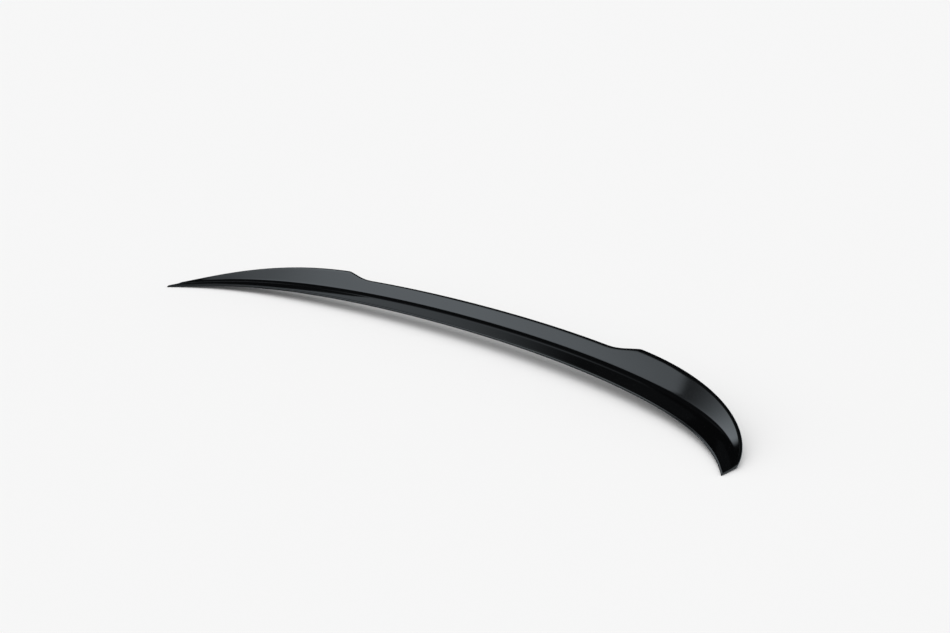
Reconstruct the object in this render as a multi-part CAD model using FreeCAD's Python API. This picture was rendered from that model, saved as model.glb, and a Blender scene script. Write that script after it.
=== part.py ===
"""Spoiler extension: one thin moulded skin.

A bonding band runs behind the rounded leading edge. A soft bend turns it up into a blade, which is low in
the middle, steps up to a raised ear on each side and fades out towards the ends. From the rounded trailing
edge a rear skin returns down to the level of the band, so the underside is an open channel.

Frame: +X along the span to the left end, +Y rearwards, +Z up. The origin is on the plane of symmetry, on
the underside of the band, at the middle of its width.
"""
import FreeCAD, Part
import math
import os

# Leading edge in plan and elevation
half_width = 590.0       # half span over which the form changes from the middle to the ends
bow = 93.0               # how far the gentle bow brings the ends forward
wrap = 54.0              # how much more the ends wrap forward
wrap_power = 8           # the wrap stays in the outer fifth of the span
crown = 16.5             # drop from the middle to the ends
crown_power = 3

# Skin and edges
wall = 3.0               # sheet thickness
toe_radius = 2.6         # rounding of the leading edge's upper corner
tip_radius = 3.0         # rounding of the trailing edge
tip_radius_end = 1.4     # the same at the ends, where the blade has faded out
bend_radius = 20.0       # soft bend between band and blade

# Band: from the leading edge to the line of the bend
band_width = 29.0
band_width_end = 9.0
band_slope = 9.0         # degrees, rising rearwards in the middle
band_slope_end = 0.0
taper_power = 12         # widths change near the ends only

# Blade: length up its slope from the line of the bend
blade_angle = 40.0       # degrees above level
blade_angle_end = 4.0
blade_fade_power = 16
blade_middle = 30.0
blade_ear = 42.0         # at the inner corner of the ear
blade_end = 3.2
ear_end = 586.0          # middle of the part to where the ear has run out
ear_power = 2.2          # how the ear's upper edge curves down to the end

# Step between the middle and each ear, measured along X
step_foot = 265.0
step_corner = 304.0
step_foot_blend = 16.0   # half length of the hollow at the foot of the step
step_corner_blend = 3.5  # half length of the rounding at the ear's corner

# Rear skin: distance of its foot behind the line of the bend
foot_back = 17.0
foot_back_end = 2.0

# Ends
end_cut = 592.0          # middle of the part to where the cut crosses the leading edge
end_lean = 4.0           # degrees that the cut turns inwards towards the rear
end_straight = 28.0      # length of the straight cut behind the leading edge
end_round = 95.0         # radius in plan of the round behind it
end_turn = 26.0          # degrees that the round turns, until it runs along the trailing edge
core_end = 552.0         # the hollow stops here and leaves the ends closed

# Stations of the lofted sections
end_overrun = 4.0        # how far the sections run on past the end cut
plain_step = 40.0        # spacing where the form changes slowly
outer_step = 20.0        # spacing over the ears
core_margin = 2.0        # how far the hollow runs on through the underside
cutter_reach = 300.0


def mix(middle, end, share):
    return middle + (end - middle) * share


def parabolic_corner(x, corner, half_length, turn):
    """Rise over the first line where a second line turns off it at a corner that is rounded."""
    if x <= corner - half_length:
        return 0.0
    if x >= corner + half_length:
        return turn * (x - corner)
    return turn * (x - corner + half_length) ** 2 / (4 * half_length)


def ear_length(x):
    """Blade length over the ear, from its inner corner to the end."""
    share = min(1.0, max(0.0, (x - step_corner) / (ear_end - step_corner)))
    return mix(blade_ear, blade_end, share ** ear_power)


def blade_length(x):
    """Length of the blade up its slope at a distance from the middle."""
    ramp = (blade_ear - blade_middle) / (step_corner - step_foot)
    rise = parabolic_corner(x, step_foot, step_foot_blend, ramp)
    rise += parabolic_corner(x, step_corner, step_corner_blend, -ramp)
    return blade_middle + rise + ear_length(x) - blade_ear


# The origin of the part's frame, seen from the middle of the leading edge
seat_angle = math.radians(band_slope)
reference = FreeCAD.Vector(0, math.cos(seat_angle), math.sin(seat_angle)) * (band_width / 2)


class Station:
    """Sizes and place of the section that starts at one point of the leading edge."""

    def __init__(self, x):
        out = abs(x)
        u = min(out, half_width) / half_width
        self.slope = math.radians(mix(band_slope, band_slope_end, u ** 2))
        self.angle = math.radians(mix(blade_angle, blade_angle_end, u ** blade_fade_power))
        self.band = mix(band_width, band_width_end, u ** taper_power)
        self.foot = self.band + mix(foot_back, foot_back_end, u ** taper_power)
        self.tip = mix(tip_radius, tip_radius_end, u ** blade_fade_power)
        self.blade = blade_length(min(out, half_width))
        u = out / half_width
        plan_slope = (2 * bow * u + wrap_power * wrap * u ** (wrap_power - 1)) / half_width
        plan_slope = math.copysign(plan_slope, x)
        self.rearward = FreeCAD.Vector(plan_slope, 1.0, 0.0).normalize()
        sweep = bow * u ** 2 + wrap * u ** wrap_power
        self.lead = FreeCAD.Vector(x, -sweep, -crown * u ** crown_power) - reference

    def on_seat(self, along, above):
        """Section point from its distance along the underside of the band and its height over it."""
        c = math.cos(self.slope)
        s = math.sin(self.slope)
        return FreeCAD.Vector(along * c - above * s, 0, along * s + above * c)

    def place(self, p):
        """Point in the part's frame of a section point, X rearwards and Z up."""
        return self.lead + self.rearward * p.x + FreeCAD.Vector(0, 0, p.z)


def direction(angle):
    return FreeCAD.Vector(math.cos(angle), 0, math.sin(angle))


def halfway(centre, first, last):
    """Unit vector from a centre to the middle of the arc between two points."""
    return ((first - centre) + (last - centre)).normalize()


def arc_middle(centre, first, last):
    """Point half way round an arc."""
    return centre + halfway(centre, first, last) * (first - centre).Length


def arc_corner(centre, first, last):
    """Where the tangents at the two ends of an arc meet."""
    half = halfway(centre, first, last)
    radius = (first - centre).Length
    return centre + half * (radius ** 2 / half.dot(first - centre))


def crossing(p, along_p, q, along_q):
    """Where two lines of the section plane cross."""
    across = along_p.x * along_q.z - along_p.z * along_q.x
    gap = q - p
    return p + along_p * ((gap.x * along_q.z - gap.z * along_q.x) / across)


def outer_section(x):
    """Named points of the outer section at one station, each on a line that runs along the part."""
    st = Station(x)
    up = direction(st.angle)
    over = direction(st.angle + math.pi / 2)
    bend = st.on_seat(st.band, wall)
    setback = bend_radius * math.tan((st.angle - st.slope) / 2)
    foot = st.on_seat(st.foot, 0)
    tip_top = bend + up * (st.blade - st.tip)
    tip_centre = tip_top - over * st.tip
    reach = tip_centre - foot
    rear_angle = math.atan2(reach.z, reach.x) - math.asin(st.tip / reach.Length)
    rear_top = foot + direction(rear_angle) * math.sqrt(reach.Length ** 2 - st.tip ** 2)
    tip_end = arc_middle(tip_centre, tip_top, rear_top)
    return st, {
        "toe_low": st.on_seat(0, 0),
        "toe_front": st.on_seat(0, wall - toe_radius),
        "toe_corner": st.on_seat(0, wall),
        "toe_top": st.on_seat(toe_radius, wall),
        "bend_start": bend - direction(st.slope) * setback,
        "bend": bend,
        "bend_end": bend + up * setback,
        "tip_top": tip_top,
        "tip_top_corner": arc_corner(tip_centre, tip_top, tip_end),
        "tip_end": tip_end,
        "tip_rear_corner": arc_corner(tip_centre, tip_end, rear_top),
        "rear_top": rear_top,
        "foot": foot,
    }


# Strips of the outer skin in order round the section. A strip of three lines is a round, with its tangents'
# crossing in the middle.
outer_strips = [
    ("toe_low", "toe_front"),
    ("toe_front", "toe_corner", "toe_top"),
    ("toe_top", "bend_start"),
    ("bend_start", "bend", "bend_end"),
    ("bend_end", "tip_top"),
    ("tip_top", "tip_top_corner", "tip_end"),
    ("tip_end", "tip_rear_corner", "rear_top"),
    ("rear_top", "foot"),
    ("foot", "toe_low"),
]


def core_section(x):
    """Corners of the channel under the blade: one wall inside the blade and inside the rear skin."""
    st, outer = outer_section(x)
    up = direction(st.angle)
    inside_blade = outer["tip_top"] - direction(st.angle + math.pi / 2) * wall
    rear = (outer["rear_top"] - outer["foot"]).normalize()
    inside_rear = outer["foot"] + FreeCAD.Vector(-rear.z, 0, rear.x) * wall
    seat = direction(st.slope)
    below = st.on_seat(0, -core_margin)
    return st, {
        "front": crossing(inside_blade, up, below, seat),
        "peak": crossing(inside_blade, up, inside_rear, rear),
        "back": crossing(inside_rear, rear, below, seat),
    }


core_strips = [("front", "peak"), ("peak", "back"), ("back", "front")]


def half_stations(last):
    """Distances from the middle at which sections stand, close together round the step's two corners."""
    steps = [step_foot + step_foot_blend * k / 2 for k in range(-2, 3)]
    steps += [step_corner + step_corner_blend * k / 2 for k in range(-2, 4)]
    inner_count = math.ceil(steps[0] / plain_step)
    inner = [steps[0] * k / inner_count for k in range(inner_count)]
    outer_count = math.ceil((last - steps[-1]) / outer_step)
    outer = [mix(steps[-1], last, k / outer_count) for k in range(1, outer_count + 1)]
    return inner + steps + outer


def strip_face(lines, names, weight):
    """Face between neighbouring lines of the section, straight across or round."""
    curves = [lines[name] for name in names]
    degree = len(names) - 1
    poles = [curve.getPoles() for curve in curves]
    row_weights = [1.0] + [weight] * (degree - 1) + [1.0]
    weights = [[w] * len(poles[0]) for w in row_weights]
    surface = Part.BSplineSurface()
    surface.buildFromPolesMultsKnots(
        poles, [degree + 1] * 2, curves[0].getMultiplicities(), [0, 1], curves[0].getKnots(),
        False, False, degree, curves[0].Degree, weights)
    return surface.toShape()


def strip_edge(poles, weight):
    """Edge of a strip at one end of the part."""
    edge = Part.BezierCurve()
    edge.setPoles(poles)
    if len(poles) == 3:
        edge.setWeight(2, weight)
    return edge.toShape()


def round_weight(section, names):
    """Weight of a round's middle line that makes it circular in the middle of the part."""
    if len(names) == 2:
        return 1.0
    first, corner, last = (section[name] for name in names)
    return math.cos((corner - first).getAngle(last - corner) / 2)


def skin_of(section, strips, last):
    """Solid inside the strips, from end to end."""
    half = half_stations(last)
    stations = [-x for x in reversed(half[1:])] + half
    rows = [section(x) for x in stations]
    lines = {}
    for name in rows[0][1]:
        lines[name] = Part.BSplineCurve()
        lines[name].interpolate(Points=[st.place(points[name]) for st, points in rows], Parameters=stations)
    middle = section(0)[1]
    weights = [round_weight(middle, names) for names in strips]
    faces = [strip_face(lines, names, weight) for names, weight in zip(strips, weights)]
    for st, points in (rows[0], rows[-1]):
        edges = []
        for names, weight in zip(strips, weights):
            edges.append(strip_edge([st.place(points[name]) for name in names], weight))
        faces.append(Part.Face(Part.Wire(edges)))
    shell = Part.makeShell(faces)
    shell.sewShape()
    solid = Part.makeSolid(Part.Shell(shell.Faces))
    if solid.Volume < 0:
        solid.reverse()
    return solid


def end_cutter(side):
    """Block outside one end: a straight cut from the leading edge, then a round that meets the trailing edge."""
    lean = math.radians(end_lean)
    turn = math.radians(end_turn)
    back = FreeCAD.Vector(-math.sin(lean), math.cos(lean), 0)
    out = FreeCAD.Vector(math.cos(lean), math.sin(lean), 0)
    toe = Station(end_cut).lead - FreeCAD.Vector(0, 0, cutter_reach)
    straight_end = toe + back * end_straight
    centre = straight_end - out * end_round
    round_middle = centre + (out * math.cos(turn / 2) + back * math.sin(turn / 2)) * end_round
    round_end = centre + (out * math.cos(turn) + back * math.sin(turn)) * end_round
    leaving = back * math.cos(turn) - out * math.sin(turn)
    far_front = toe - back * cutter_reach
    far_back = round_end + leaving * cutter_reach
    outside = out * cutter_reach
    edges = [
        Part.makeLine(far_front, straight_end),
        Part.Arc(straight_end, round_middle, round_end).toShape(),
        Part.makeLine(round_end, far_back),
        Part.makeLine(far_back, far_back + outside),
        Part.makeLine(far_back + outside, far_front + outside),
        Part.makeLine(far_front + outside, far_front),
    ]
    block = Part.Face(Part.Wire(edges)).extrude(FreeCAD.Vector(0, 0, 2 * cutter_reach))
    if side < 0:
        block = block.mirror(FreeCAD.Vector(0, 0, 0), FreeCAD.Vector(1, 0, 0))
    return block


skin = skin_of(outer_section, outer_strips, end_cut + end_overrun)
channel = skin_of(core_section, core_strips, core_end)
body = skin.cut(channel)
for side in (1, -1):
    body = body.cut(end_cutter(side))

os.makedirs("parts", exist_ok=True)
body.exportStep("parts/spoiler_extension.step")
size = body.optimalBoundingBox()
print(body.isValid(), len(body.Solids), round(body.Volume), size.XLength, size.YLength, size.ZLength)
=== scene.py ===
"""The spoiler extension in a plain pale studio: one gloss black skin, formed from a flat sheet.

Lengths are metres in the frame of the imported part: +X towards the left end, +Y rearwards, +Z up.
"""
import math
from collections import namedtuple

import bmesh
import bpy
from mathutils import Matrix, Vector


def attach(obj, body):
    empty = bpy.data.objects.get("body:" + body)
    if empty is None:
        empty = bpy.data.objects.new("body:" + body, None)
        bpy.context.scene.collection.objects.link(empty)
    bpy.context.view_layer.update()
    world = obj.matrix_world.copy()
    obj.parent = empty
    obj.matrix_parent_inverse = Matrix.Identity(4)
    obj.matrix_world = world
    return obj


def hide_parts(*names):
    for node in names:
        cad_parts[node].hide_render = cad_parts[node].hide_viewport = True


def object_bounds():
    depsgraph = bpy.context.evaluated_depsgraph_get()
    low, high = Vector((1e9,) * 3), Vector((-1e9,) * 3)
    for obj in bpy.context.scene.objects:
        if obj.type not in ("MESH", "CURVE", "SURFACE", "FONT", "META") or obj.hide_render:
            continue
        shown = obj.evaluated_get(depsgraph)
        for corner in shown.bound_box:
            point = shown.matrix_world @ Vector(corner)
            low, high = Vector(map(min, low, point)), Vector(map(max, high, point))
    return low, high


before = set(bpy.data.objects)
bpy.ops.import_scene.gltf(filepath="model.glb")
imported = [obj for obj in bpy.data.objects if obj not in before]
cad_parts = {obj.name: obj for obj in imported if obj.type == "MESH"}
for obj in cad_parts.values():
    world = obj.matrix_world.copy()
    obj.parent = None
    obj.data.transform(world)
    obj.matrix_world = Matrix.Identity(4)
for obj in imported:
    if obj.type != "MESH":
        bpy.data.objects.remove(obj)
cad_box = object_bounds()

MM = 0.001
NODE = "spoiler_extension"

# Leading edge in plan and elevation
half_width = 590 * MM
bow = 93 * MM
wrap = 54 * MM
wrap_power = 8
crown = 16.5 * MM
crown_power = 3

# Skin and edges
wall = 3 * MM
toe_radius = 2.6 * MM
tip_radius = 3 * MM
tip_radius_end = 1.4 * MM
bend_radius = 20 * MM

# Band behind the leading edge
band_width = 29 * MM
band_width_end = 9 * MM
band_slope = math.radians(9)
band_slope_end = 0.0
taper_power = 12

# Blade up from the line of the bend
blade_angle = math.radians(40)
blade_angle_end = math.radians(4)
blade_fade_power = 16
blade_middle = 30 * MM
blade_ear = 42 * MM
blade_end = 3.2 * MM
ear_end = 586 * MM
ear_power = 2.2

# Step between the low middle and each ear
step_foot = 265 * MM
step_corner = 304 * MM
step_foot_blend = 16 * MM
step_corner_blend = 3.5 * MM

# Rear skin, end cuts and the open channel under the blade
foot_back = 17 * MM
foot_back_end = 2 * MM
end_cut = 592 * MM
end_lean = math.radians(4)
end_straight = 28 * MM
end_round = 95 * MM
end_edge = 0.8 * MM
channel_end = 552 * MM
channel_wall = 0.6 * MM

# Mesh density: spaces across the sheet, and stations along it
toe_edge_spaces = 4
toe_spaces = 14
band_spaces = 8
bend_spaces = 20
blade_spaces = 8
tip_spaces = 14
rear_spaces = 6
channel_rear_spaces = 5
channel_blade_spaces = 8
land_spaces = 8
plain_station = 5 * MM
step_station = 2 * MM
end_stations = 10
edge_stations = 5

# Halvings that find the end cut, reach of the merge along the seam, and turn past which an edge is sharp
end_halvings = 20
merge_reach = 0.001 * MM
sharp_turn = math.radians(35)

# Finish of the skin: the two blacks that it drifts between, with the second all over the raw side;
# roughness; the scale and detail of each pattern; and the relief of the orange peel and the grain
polished_black = (0.0012, 0.0013, 0.0015, 1)
raw_black = (0.0026, 0.0028, 0.0031, 1)
polished_roughness = 0.045
wiped_roughness = 0.03
raw_roughness = 0.38
plastic_ior = 1.5
cloud_pattern = (9.0, 3.0)
wiped_pattern = (60.0, 4.0)
peel_pattern = (420.0, 1.0)
grain_pattern = (1900.0, 3.0)
peel_share = 0.06
relief_strength = 0.25
relief_depth = 0.04 * MM

# Camera: its place, its turn from looking straight rearwards, its dip below level, and its lens and frame
camera_place = Vector((1396.8, -1216.0, 481.4)) * MM
camera_turn = math.radians(48.629)
camera_dip = math.radians(14.151)
camera_lens = 49.98
camera_frame = 36.0

# Studio floor, and the dark card: its two sides in plan, and the heights of its lower and upper edges
floor_reach = 300.0
floor_sides = 96
floor_tone = 0.9
card_sides = [(0.1627, 0.1025), (0.2623, 0.2501)]
card_foot = 0.18
card_head = 0.28
white = (1, 1, 1, 1)
black = (0, 0, 0, 1)

# Light: an even fill for the floor, and a dim room with soft panels for the gloss. A panel has, in degrees,
# its azimuth from the rear towards the left end with the widths of its soft sides, and its elevation with
# the depths of its soft edges; then its brightness, and how much its edges rise per degree of azimuth
soft_fill = 1.03
dim_room = 0.012
panel_tint = (0.84, 0.93, 1.0, 1)
rise_from = -71
SoftPanel = namedtuple("SoftPanel", "azimuth sides elevation edges level rise", defaults=[0.0])
panels = [
    SoftPanel((-150, -97.5), (15, 2.5), (24, 74), (8, 24), 1.12),
    SoftPanel((-114, -97.5), (12, 2.5), (30, 58), (6, 14), 0.62),
    SoftPanel((-100, -91.1), (2.5, 1.0), (20, 38.3), (6, 0.6), 1.12, rise=-0.2),
    SoftPanel((-100, -92.5), (2.5, 5), (20, 38.3), (6, 0.6), 0.47, rise=-0.2),
    SoftPanel((-100, -82), (2.5, 16), (54.5, 70), (3, 8), 0.65),
    SoftPanel((-95, -63.5), (21, 7), (16, 31.5), (6, 2), 1.6, rise=-0.53),
    SoftPanel((-62.5, -48), (2, 9), (9, 40), (9, 9), 0.27),
    SoftPanel((-68.5, -60), (4, 5), (31.5, 40), (4, 4), 0.12),
    SoftPanel((-150, -104), (15, 5), (8, 34), (6, 8), 1.0),
    SoftPanel((-99, -63), (5, 2), (-3, 17), (4, 4), 0.9),
    SoftPanel((35, 140), (20, 20), (10, 76), (16, 20), 0.8),
    SoftPanel((-190, 190), (1, 1), (58, 100), (14, 1), 0.8),
    SoftPanel((140, 190), (20, 1), (8, 62), (12, 20), 0.6),
    SoftPanel((-190, -150), (1, 12), (8, 62), (12, 20), 0.6),
    SoftPanel((-50, 190), (20, 1), (-100, 2), (1, 6), 0.6),
    SoftPanel((-190, -70), (1, 20), (-100, 2), (1, 6), 0.6),
]


def mix(middle, end, share):
    """Value at a share of the way from the middle's to the end's."""
    return middle + (end - middle) * share


def turned(angle):
    """Unit vector in the section at an angle up from rearwards."""
    return Vector((math.cos(angle), math.sin(angle)))


def rounded_corner(x, corner, half_length, turn):
    """Rise over a first line where a second line turns off it at a rounded corner."""
    if x <= corner - half_length:
        return 0.0
    if x >= corner + half_length:
        return turn * (x - corner)
    return turn * (x - corner + half_length) ** 2 / (4 * half_length)


def blade_length(x):
    """Length of the blade up its slope at a distance from the middle."""
    ramp = (blade_ear - blade_middle) / (step_corner - step_foot)
    rise = rounded_corner(x, step_foot, step_foot_blend, ramp)
    rise += rounded_corner(x, step_corner, step_corner_blend, -ramp)
    share = min(1.0, max(0.0, (x - step_corner) / (ear_end - step_corner)))
    return blade_middle + rise + (blade_end - blade_ear) * share ** ear_power


def line_points(first, last, spaces):
    """Points along a straight stretch, without its first one."""
    return [first.lerp(last, k / spaces) for k in range(1, spaces + 1)]


def arc_points(centre, first, last, spaces):
    """Points round an arc of less than half a turn, without its first one."""
    start = first - centre
    sweep = start.angle_signed(last - centre)
    begin = math.atan2(start.y, start.x)
    return [centre + turned(begin - sweep * k / spaces) * start.length for k in range(1, spaces + 1)]


def crossing(p, along_p, q, along_q):
    """Where two lines of the section cross."""
    gap = q - p
    return p + along_p * (gap.cross(along_q) / along_p.cross(along_q))


class Section:
    """The closed outline of the skin at one station of the leading edge, with Y up and X rearwards."""

    def __init__(self, x):
        # Past the half width the sizes stay as they are, while the leading edge runs on
        held = min(x, half_width)
        share = held / half_width
        self.slope = mix(band_slope, band_slope_end, share ** 2)
        self.angle = mix(blade_angle, blade_angle_end, share ** blade_fade_power)
        self.band = mix(band_width, band_width_end, share ** taper_power)
        self.foot = self.band + mix(foot_back, foot_back_end, share ** taper_power)
        self.tip = mix(tip_radius, tip_radius_end, share ** blade_fade_power)
        self.blade = blade_length(held)
        u = x / half_width
        plan_slope = (2 * bow * u + wrap_power * wrap * u ** (wrap_power - 1)) / half_width
        self.rearward = Vector((plan_slope, 1.0)).normalized()
        middle = Vector((0, math.cos(band_slope), math.sin(band_slope))) * band_width / 2
        self.lead = Vector((x, -bow * u ** 2 - wrap * u ** wrap_power, -crown * u ** crown_power)) - middle
        self.points = self.outside() + self.inside(x)

    def on_seat(self, along, above):
        """Section point so far along the slope of the band and so far above its underside."""
        return turned(self.slope) * along + turned(self.slope + math.pi / 2) * above

    def outside(self):
        """Toe, band, bend, blade, trailing edge and rear skin."""
        toe_edge = wall - toe_radius
        up = turned(self.angle)
        over = turned(self.angle + math.pi / 2)
        bend = self.on_seat(self.band, wall)
        setback = bend_radius * math.tan((self.angle - self.slope) / 2)
        bend_start = bend - turned(self.slope) * setback
        bend_end = bend + up * setback
        self.tip_top = bend + up * (self.blade - self.tip)
        tip_centre = self.tip_top - over * self.tip
        self.heel = self.on_seat(self.foot, 0)
        reach = tip_centre - self.heel
        self.rear_angle = math.atan2(reach.y, reach.x) - math.asin(self.tip / reach.length)
        tip_back = tip_centre + turned(self.rear_angle - math.pi / 2) * self.tip
        tip_end = tip_centre + turned((self.angle + self.rear_angle) / 2) * self.tip
        toe_front = self.on_seat(0, toe_edge)
        toe_top = self.on_seat(toe_radius, wall)
        points = [self.on_seat(toe_edge, 0)]
        points += arc_points(self.on_seat(toe_edge, toe_edge), points[0], toe_front, toe_edge_spaces)
        points += arc_points(self.on_seat(toe_radius, toe_edge), toe_front, toe_top, toe_spaces)
        points += line_points(toe_top, bend_start, band_spaces)
        points += arc_points(bend_end + over * bend_radius, bend_start, bend_end, bend_spaces)
        points += line_points(bend_end, self.tip_top, blade_spaces)
        points += arc_points(tip_centre, self.tip_top, tip_end, tip_spaces // 2)
        points += arc_points(tip_centre, tip_end, tip_back, tip_spaces // 2)
        points += line_points(tip_back, self.heel, rear_spaces)
        self.outer_rows = len(points)
        return points

    def inside(self, x):
        """Foot of the rear skin, the two sides of the channel, and the bonding land."""
        seat = turned(self.slope)
        start = self.on_seat(wall - toe_radius, 0)
        if x <= channel_end:
            up = turned(self.angle)
            rear = turned(self.rear_angle)
            blade_side = self.tip_top - turned(self.angle + math.pi / 2) * wall
            rear_side = self.heel + turned(self.rear_angle + math.pi / 2) * wall
            front = crossing(blade_side, up, start, seat)
            back = crossing(rear_side, rear, start, seat)
            peak = crossing(blade_side, up, rear_side, rear)
        else:
            closed = Section(channel_end)
            *hollow, land_start = closed.channel
            span = (closed.heel - land_start).length
            shares = [(p - land_start).dot(turned(closed.slope)) / span for p in hollow]
            front, peak, back = (start.lerp(self.heel, share) for share in shares)
        self.channel = (front, peak, back, start)
        points = [back]
        points += line_points(back, peak, channel_rear_spaces)
        points += line_points(peak, front, channel_blade_spaces)
        points += line_points(front, start, land_spaces)[:-1]
        return points

    def place(self, p):
        """Point in the part's frame of a section point."""
        return self.lead + Vector((self.rearward.x * p.x, self.rearward.y * p.x, p.y))

    def inward(self, row):
        """Unit vector into the skin at an outer row."""
        count = len(self.points)
        along = self.points[(row + 1) % count] - self.points[row - 1]
        return Vector((along.y, -along.x)).normalized()


def past_end(p):
    """How far a point lies outside the end cut, seen from above."""
    toe = Section(end_cut).lead
    away = Vector((p.x - toe.x, p.y - toe.y))
    back = away.dot(Vector((-math.sin(end_lean), math.cos(end_lean))))
    out = away.dot(Vector((math.cos(end_lean), math.sin(end_lean))))
    if back <= end_straight:
        return out
    return math.hypot(back - end_straight, out + end_round) - end_round


def end_place(row, inset, setback):
    """Station and place at which a row, moved into the skin, comes within a setback of the end cut."""
    low = channel_end
    high = end_cut + wall
    for _ in range(end_halvings):
        x = (low + high) / 2
        section = Section(x)
        place = section.place(section.points[row] + section.inward(row) * inset)
        if past_end(place) > -setback:
            high = x
        else:
            low = x
    return x, place


def eased_share(row, outer_rows):
    """Share of the eased edge that one row has: all of it on the outside, running out to none underneath."""
    return max(0.0, min(1.0, row / toe_edge_spaces, (outer_rows - 1 - row) / rear_spaces))


def stations_to_channel_end():
    """Stations from the middle to the end of the channel, closer together round the step."""
    edges = [0.0, step_foot - step_foot_blend, step_corner + 2 * step_corner_blend, channel_end]
    stations = []
    for first, last, space in zip(edges, edges[1:], (plain_station, step_station, plain_station)):
        count = math.ceil((last - first) / space)
        stations += [mix(first, last, k / count) for k in range(count)]
    return stations + [channel_end, channel_end + channel_wall]


def half_rows():
    """Places of every row at every station of the half with X above 0, and the number of rows outside."""
    sections = [Section(x) for x in stations_to_channel_end()]
    columns = [[section.place(p) for p in section.points] for section in sections]
    outer_rows = sections[-1].outer_rows
    rows = range(len(columns[0]))
    start = channel_end + channel_wall
    easing = [end_place(row, 0.0, end_edge)[0] for row in rows]
    for k in range(1, end_stations + 1):
        sections = [Section(mix(start, x, k / end_stations)) for x in easing]
        columns.append([section.place(section.points[row]) for row, section in enumerate(sections)])
    for k in range(1, edge_stations + 1):
        turn = math.pi / 2 * k / edge_stations
        setback = end_edge * (1 - math.sin(turn))
        insets = [end_edge * (1 - math.cos(turn)) * eased_share(row, outer_rows) for row in rows]
        columns.append([end_place(row, inset, setback)[1] for row, inset in enumerate(insets)])
    return columns, outer_rows


def finished(bm, name, finish):
    """Makes an object of a shape, gives it its finish and puts it in the scene."""
    mesh = bpy.data.meshes.new(name)
    bm.to_mesh(mesh)
    bm.free()
    mesh.materials.append(finish)
    piece = bpy.data.objects.new(name, mesh)
    bpy.context.scene.collection.objects.link(piece)
    return piece


def form_skin():
    """Wraps a flat grid round the sections, joins its seam, closes its ends and marks its raw side."""
    columns, outer_rows = half_rows()
    rows = len(columns[0])
    reach = len(columns) - 1
    bm = bmesh.new()
    raw_side = bm.verts.layers.float.new("raw_side")
    bmesh.ops.create_grid(bm, x_segments=rows, y_segments=2 * reach, size=1.0)
    for vert in bm.verts:
        row = round((vert.co.x + 1) / 2 * rows) % rows
        station = round(vert.co.y * reach)
        place = columns[abs(station)][row]
        side = -1 if station < 0 else 1
        vert.co = (side * place.x, place.y, place.z)
        vert[raw_side] = 0.0 if row < outer_rows else 1.0
    bmesh.ops.remove_doubles(bm, verts=bm.verts, dist=merge_reach)
    rims = [edge for edge in bm.edges if edge.is_boundary]
    caps = bmesh.ops.holes_fill(bm, edges=rims, sides=0)["faces"]
    bmesh.ops.triangulate(bm, faces=caps)
    bmesh.ops.recalc_face_normals(bm, faces=bm.faces)
    for face in bm.faces:
        face.smooth = True
    skin = finished(bm, "formed_skin", gloss_black_finish())
    skin.data.set_sharp_from_angle(angle=sharp_turn)
    return skin


class Socket:
    """An output socket whose arithmetic adds Math nodes."""

    def __init__(self, nodes, socket):
        self.nodes = nodes
        self.socket = socket

    def math(self, operation, *values):
        """Result of a Math node on values or sockets."""
        return self.nodes.add("ShaderNodeMath", {"operation": operation}, dict(enumerate(values)))

    def __add__(self, other):
        return self.math("ADD", self, other)

    def __sub__(self, other):
        return self.math("SUBTRACT", self, other)

    def __rsub__(self, other):
        return self.math("SUBTRACT", other, self)

    def __mul__(self, other):
        return self.math("MULTIPLY", self, other)

    __radd__ = __add__
    __rmul__ = __mul__


class Nodes:
    """A node tree that is written as expressions."""

    def __init__(self, tree):
        self.tree = tree
        tree.nodes.clear()

    def add(self, kind, settings=None, inputs=None, output=0):
        """Adds a node, sets it up, fills its sockets and gives one of its outputs."""
        node = self.tree.nodes.new(kind)
        for name, value in (settings or {}).items():
            setattr(node, name, value)
        for name, value in (inputs or {}).items():
            if isinstance(value, Socket):
                self.tree.links.new(value.socket, node.inputs[name])
            else:
                node.inputs[name].default_value = value
        if not node.outputs:
            return None
        return Socket(self, node.outputs[output])

    def smooth_step(self, value, low, high):
        """0 below low, 1 above high, and smooth between. High may lie below low."""
        settings = {"interpolation_type": "SMOOTHSTEP"}
        return self.add("ShaderNodeMapRange", settings, {"Value": value, "From Min": low, "From Max": high})

    def window(self, angle, limits, softness):
        """1 between two limits in degrees and 0 outside them, smooth over the softness inside each."""
        low, high = (math.radians(limit) for limit in limits)
        first, last = (math.radians(width) for width in softness)
        return self.smooth_step(angle, low, low + first) * self.smooth_step(angle, high, high - last)

    def noise(self, place, scale, detail):
        """Soft random pattern from 0 to 1."""
        return self.add("ShaderNodeTexNoise", None, {"Vector": place, "Scale": scale, "Detail": detail})


def blank_finish(name):
    """A new material, and its empty node tree."""
    material = bpy.data.materials.new(name)
    material.use_nodes = True
    return material, Nodes(material.node_tree)


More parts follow.
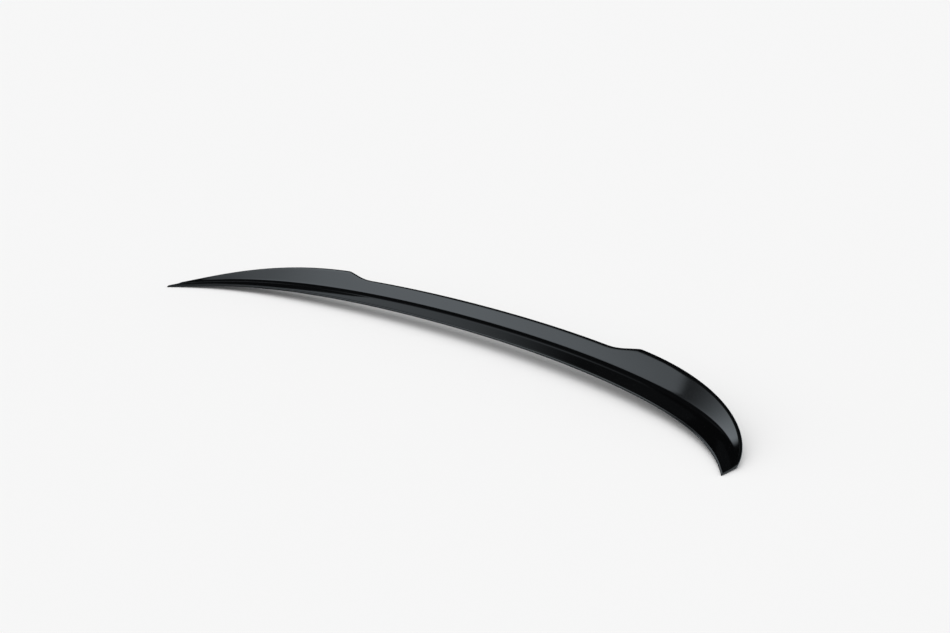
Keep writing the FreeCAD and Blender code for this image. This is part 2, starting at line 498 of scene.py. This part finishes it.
def gloss_black_finish():
    """Polished black sheet with a trace of orange peel, and the fine grain of the raw side underneath."""
    material, nodes = blank_finish("gloss_black_finish")
    place = nodes.add("ShaderNodeTexCoord", output="Object")
    raw = nodes.add("ShaderNodeAttribute", {"attribute_name": "raw_side"}, output="Fac")
    cloud = nodes.noise(place, *cloud_pattern)
    wiped = nodes.noise(place, *wiped_pattern)
    peel = nodes.noise(place, *peel_pattern)
    grain = nodes.noise(place, *grain_pattern)
    # The third output is the one that carries a colour
    colour = nodes.add("ShaderNodeMix", {"data_type": "RGBA"}, {
        "Factor": cloud * (1 - raw) + raw, "A": polished_black, "B": raw_black}, output=2)
    roughness = polished_roughness + wiped * wiped_roughness + raw * raw_roughness
    height = peel * (1 - raw) * peel_share + grain * raw
    normal = nodes.add("ShaderNodeBump", None, {
        "Height": height, "Strength": relief_strength, "Distance": relief_depth})
    shader = nodes.add("ShaderNodeBsdfPrincipled", None, {
        "Base Color": colour, "Roughness": roughness, "IOR": plastic_ior, "Normal": normal})
    nodes.add("ShaderNodeOutputMaterial", None, {"Surface": shader})
    return material


def floor_finish():
    """Matt pale grey."""
    material, nodes = blank_finish("pale_floor")
    shader = nodes.add("ShaderNodeBsdfDiffuse", None, {"Color": (floor_tone, floor_tone, floor_tone, 1)})
    nodes.add("ShaderNodeOutputMaterial", None, {"Surface": shader})
    return material


def card_finish():
    """Black on the card's face and nothing on its back."""
    material, nodes = blank_finish("card_black")
    back = nodes.add("ShaderNodeNewGeometry", output="Backfacing")
    face = nodes.add("ShaderNodeBsdfDiffuse", None, {"Color": black})
    clear = nodes.add("ShaderNodeBsdfTransparent")
    shader = nodes.add("ShaderNodeMixShader", None, {0: back, 1: face, 2: clear})
    nodes.add("ShaderNodeOutputMaterial", None, {"Surface": shader})
    return material


def lay_floor():
    """Wide pale disc under the lowest point of the part."""
    bm = bmesh.new()
    bmesh.ops.create_circle(bm, cap_ends=True, radius=floor_reach, segments=floor_sides)
    bmesh.ops.translate(bm, verts=bm.verts, vec=(0, 0, cad_box[0][2]))
    floor = finished(bm, "studio_floor", floor_finish())
    floor.visible_glossy = False


def hang_dark_card():
    """Upright card that keeps the panels out of the left tip. Only the gloss sees it, and only its face."""
    bm = bmesh.new()
    foot = bm.edges.new([bm.verts.new((x, y, card_foot)) for x, y in card_sides])
    raised = bmesh.ops.extrude_edge_only(bm, edges=[foot])["geom"]
    head = [v for v in raised if isinstance(v, bmesh.types.BMVert)]
    bmesh.ops.translate(bm, verts=head, vec=(0, 0, card_head - card_foot))
    bm.normal_update()
    bmesh.ops.reverse_faces(bm, faces=[face for face in bm.faces if face.normal.x < 0])
    card = finished(bm, "dark_card", card_finish())
    card.visible_camera = False
    card.visible_diffuse = False
    card.visible_shadow = False


def panel_shine(nodes, azimuth, elevation, panel):
    """Brightness of one soft panel in the direction of a ray."""
    if panel.rise:
        elevation = elevation - (azimuth - math.radians(rise_from)) * panel.rise
    across = nodes.window(azimuth, panel.azimuth, panel.sides)
    upward = nodes.window(elevation, panel.elevation, panel.edges)
    return across * upward * panel.level


def hang_lights():
    """Even white light all round for the floor, and soft panels in a dim room for the gloss."""
    world = bpy.data.worlds.new("studio")
    bpy.context.scene.world = world
    world.use_nodes = True
    nodes = Nodes(world.node_tree)
    ray = nodes.add("ShaderNodeTexCoord", output="Generated")
    x, y, z = (nodes.add("ShaderNodeSeparateXYZ", None, {"Vector": ray}, output=axis) for axis in "XYZ")
    azimuth = x.math("ARCTAN2", x, y)
    elevation = z.math("ARCSINE", z)
    level = dim_room
    for panel in panels:
        level = panel_shine(nodes, azimuth, elevation, panel) + level
    room = nodes.add("ShaderNodeBackground", None, {"Color": panel_tint, "Strength": level})
    fill = nodes.add("ShaderNodeBackground", None, {"Color": white, "Strength": soft_fill})
    backdrop = nodes.add("ShaderNodeBackground", None, {"Color": white, "Strength": soft_fill * floor_tone})
    seen = nodes.add("ShaderNodeLightPath", output="Is Camera Ray")
    gloss = nodes.add("ShaderNodeLightPath", output="Is Glossy Ray")
    plain = nodes.add("ShaderNodeMixShader", None, {0: seen, 1: fill, 2: backdrop})
    shader = nodes.add("ShaderNodeMixShader", None, {0: gloss, 1: plain, 2: room})
    nodes.add("ShaderNodeOutputWorld", None, {"Surface": shader})


def set_camera():
    """Camera of the main view."""
    data = bpy.data.cameras.new("photo_camera")
    data.sensor_fit = "HORIZONTAL"
    data.sensor_width = camera_frame
    data.lens = camera_lens
    camera = bpy.data.objects.new("photo_camera", data)
    camera.location = camera_place
    camera.rotation_euler = (math.pi / 2 - camera_dip, 0, camera_turn)
    bpy.context.scene.collection.objects.link(camera)
    bpy.context.scene.camera = camera


skin = form_skin()
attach(skin, "root")
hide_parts(NODE)
lay_floor()
hang_dark_card()
hang_lights()
set_camera()
bpy.context.scene.view_settings.view_transform = "Standard"
